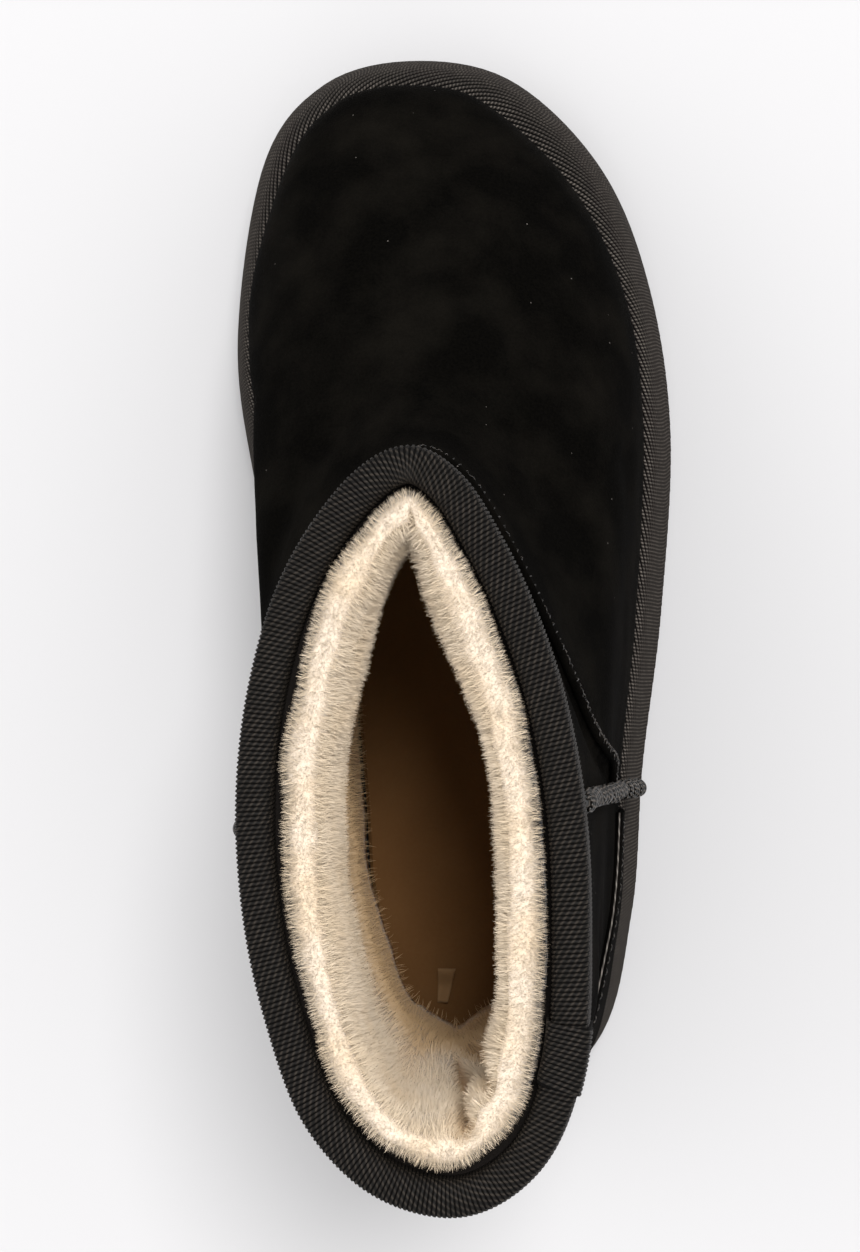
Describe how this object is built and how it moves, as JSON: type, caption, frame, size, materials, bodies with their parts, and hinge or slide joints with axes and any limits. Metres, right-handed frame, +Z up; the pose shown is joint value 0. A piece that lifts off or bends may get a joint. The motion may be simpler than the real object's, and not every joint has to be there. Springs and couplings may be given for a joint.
{
  "type": "sheepskin ankle boot",
  "caption": "Ankle-high suede slipper boot on a thick taped platform sole, lined with deep sheepskin fur, with a bound collar and raised stitched seams.",
  "frame": {"origin": "on the floor, under the middle of the sole's length and width", "axes": "+Z up, +Y towards the toe, +X to the outer side of the right foot"},
  "size_m": [0.1089, 0.2684, 0.1674],
  "materials": {
    "outsole_rubber": "matt black moulded rubber",
    "platform_foam": "matt black foam",
    "ribbed_tape": "black ribbed twill tape with a slight sheen",
    "suede": "black suede with a soft nap",
    "seam_thread": "black waxed thread",
    "ribbed_binding": "black grosgrain ribbon",
    "fleece": "cream sheepskin pile",
    "insole_leather": "smooth dark brown leather",
    "label_cloth": "small blank woven label"
  },
  "bodies": {
    "root": {"outsole": "outsole_rubber", "platform": "platform_foam", "sole_tape": "ribbed_tape", "upper": "suede", "vamp_seam": "seam_thread", "side_seam_outer": "seam_thread", "side_seam_inner": "seam_thread", "heel_counter": "suede", "collar_binding": "ribbed_binding", "fur_lining": "fleece", "insole": "insole_leather", "care_label": "label_cloth"}
  },
  "joints": []
}
